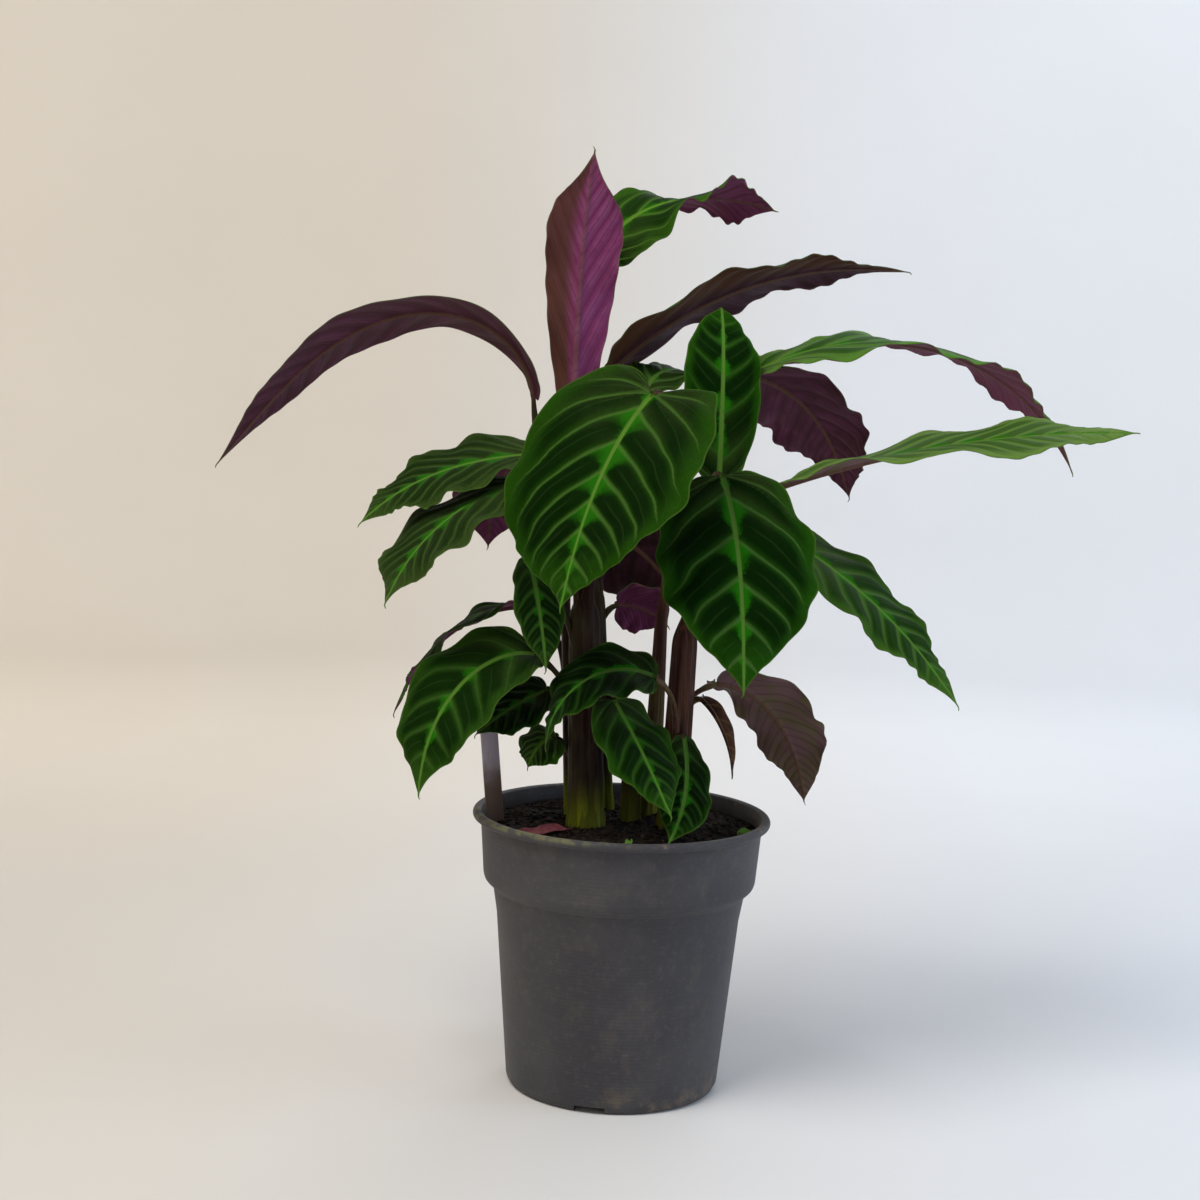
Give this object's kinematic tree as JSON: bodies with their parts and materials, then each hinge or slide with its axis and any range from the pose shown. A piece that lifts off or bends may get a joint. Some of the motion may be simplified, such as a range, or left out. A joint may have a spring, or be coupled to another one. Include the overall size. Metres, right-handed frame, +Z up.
{
  "type": "potted calathea",
  "caption": "Leafy house plant in a round tapered grower's pot, with long waved blades on bundled stalks and a blank label stake.",
  "frame": {"origin": "centre of the pot's underside, on the surface the pot stands on", "axes": "+Z up along the pot's axis, +X to the right and +Y to the back as the plant is seen from its front"},
  "size_m": [0.5708, 0.269, 0.5884],
  "materials": {
    "pot": "matte anthracite plastic, slightly dusty",
    "soil": null,
    "label": "pale matt plastic, stained at the soil",
    "stalk": null,
    "leaf": null,
    "dry_leaf": "dry brown leaf"
  },
  "bodies": {
    "root": {"pot": "pot", "soil": "soil", "label_stake": "label", "shoot_front": "stalk", "shoot_left": "stalk", "shoot_centre": "stalk", "shoot_right": "stalk", "shoot_back_right": "stalk", "shoot_back": "stalk", "leaf_far_left": "leaf", "leaf_upright_purple": "leaf", "leaf_high_back": "leaf", "leaf_high_right": "leaf", "leaf_upright_green": "leaf", "leaf_front_centre": "leaf", "leaf_front_right": "leaf", "leaf_upper_right": "leaf", "leaf_back_right": "leaf", "leaf_right_long": "leaf", "leaf_right_low": "leaf", "leaf_low_right": "leaf", "leaf_left_upper": "leaf", "leaf_left_middle": "leaf", "leaf_back_left": "leaf", "leaf_small_hanging": "leaf", "leaf_left_edge": "leaf", "leaf_left_low": "leaf", "leaf_left_inner": "leaf", "leaf_low_centre": "leaf", "leaf_small_round": "leaf", "leaf_low_front": "leaf", "leaf_low_front_behind": "leaf", "leaf_withered": "dry_leaf", "leaf_back_centre_low": "leaf", "leaf_back_centre": "leaf", "leaf_high_small": "leaf"}
  },
  "joints": []
}
